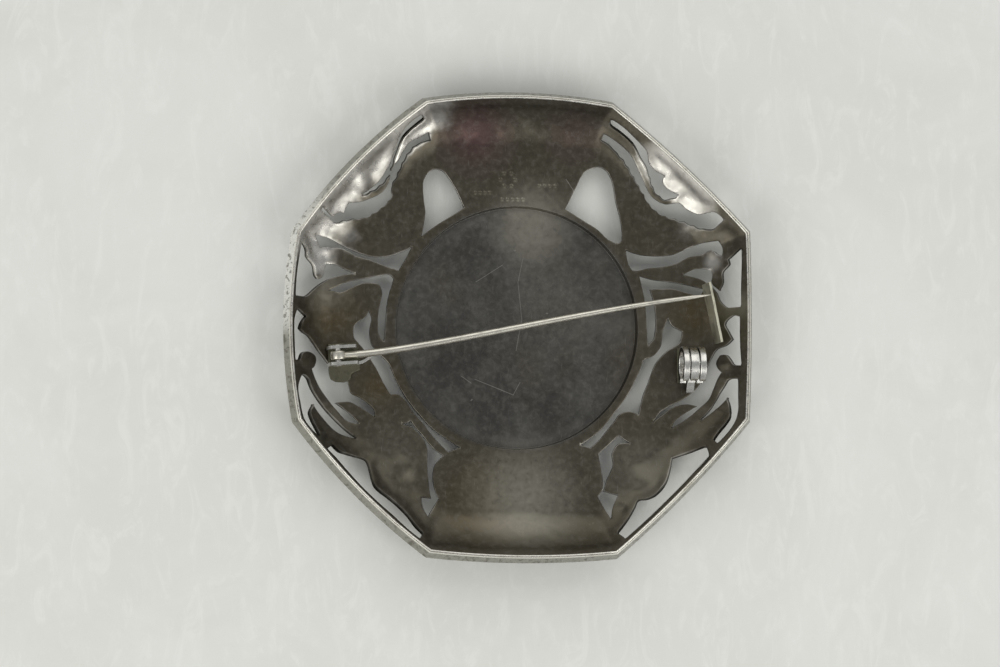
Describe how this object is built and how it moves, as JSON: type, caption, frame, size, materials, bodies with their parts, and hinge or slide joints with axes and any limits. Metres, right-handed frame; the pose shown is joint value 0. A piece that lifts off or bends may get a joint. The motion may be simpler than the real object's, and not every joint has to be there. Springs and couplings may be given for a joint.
{
  "type": "openwork brooch",
  "caption": "Eight-sided dished openwork brooch lying face down, with a hinged pin, a turning-hook safety catch and an upright guard strip on its back.",
  "frame": {"origin": "on the surface that the domed front rests on, under the middle of the outline", "axes": "+Z out of the back of the brooch, +X from the hinge towards the catch, +Y up the brooch as it is worn seen from its back"},
  "size_m": [0.049, 0.0488, 0.0068],
  "materials": {
    "tarnished_silver": "dark tarnish over hand-finished metal, satin",
    "bright_silver": "worn polish",
    "solder_grey": "dull, with solder",
    "rivet_silver": "polished",
    "pin_wire": "polished drawn wire",
    "roller_silver": "polished by use",
    "guard_silver": "filed, satin"
  },
  "bodies": {
    "brooch": {"openwork_plate": "tarnished_silver", "rim_frame": "bright_silver", "hinge_base": "solder_grey", "hinge_ear_upper": "bright_silver", "hinge_ear_lower": "bright_silver", "hinge_rivet": "rivet_silver", "catch_base": "solder_grey", "catch_wall_left": "bright_silver", "catch_wall_right": "bright_silver", "guard_strip": "guard_silver"},
    "pin_root": {"pin_head": "pin_wire"},
    "pin": {"pin_stem": "pin_wire"},
    "roller": {"catch_roller": "roller_silver"}
  },
  "joints": [
    {"name": "pin_lift", "type": "hinge", "parent": "brooch", "child": "pin_root", "pos_m": [-0.0189, -0.00315, 0.00425], "axis": [0.0698, -0.9976, 0], "range_deg": [-3.4, 100]},
    {"name": "pin_swing", "type": "hinge", "parent": "pin_root", "child": "pin", "pos_m": [-0.0166, -0.00299, 0.0044], "axis": [0, 0, 1], "range_deg": [-16, 0], "stiffness_Nm_per_rad": 0.004},
    {"name": "roller_turn", "type": "hinge", "parent": "brooch", "child": "roller", "pos_m": [0.01794, -0.0039, 0.0042], "axis": [-1, 0, 0], "range_deg": [0, 90]}
  ]
}
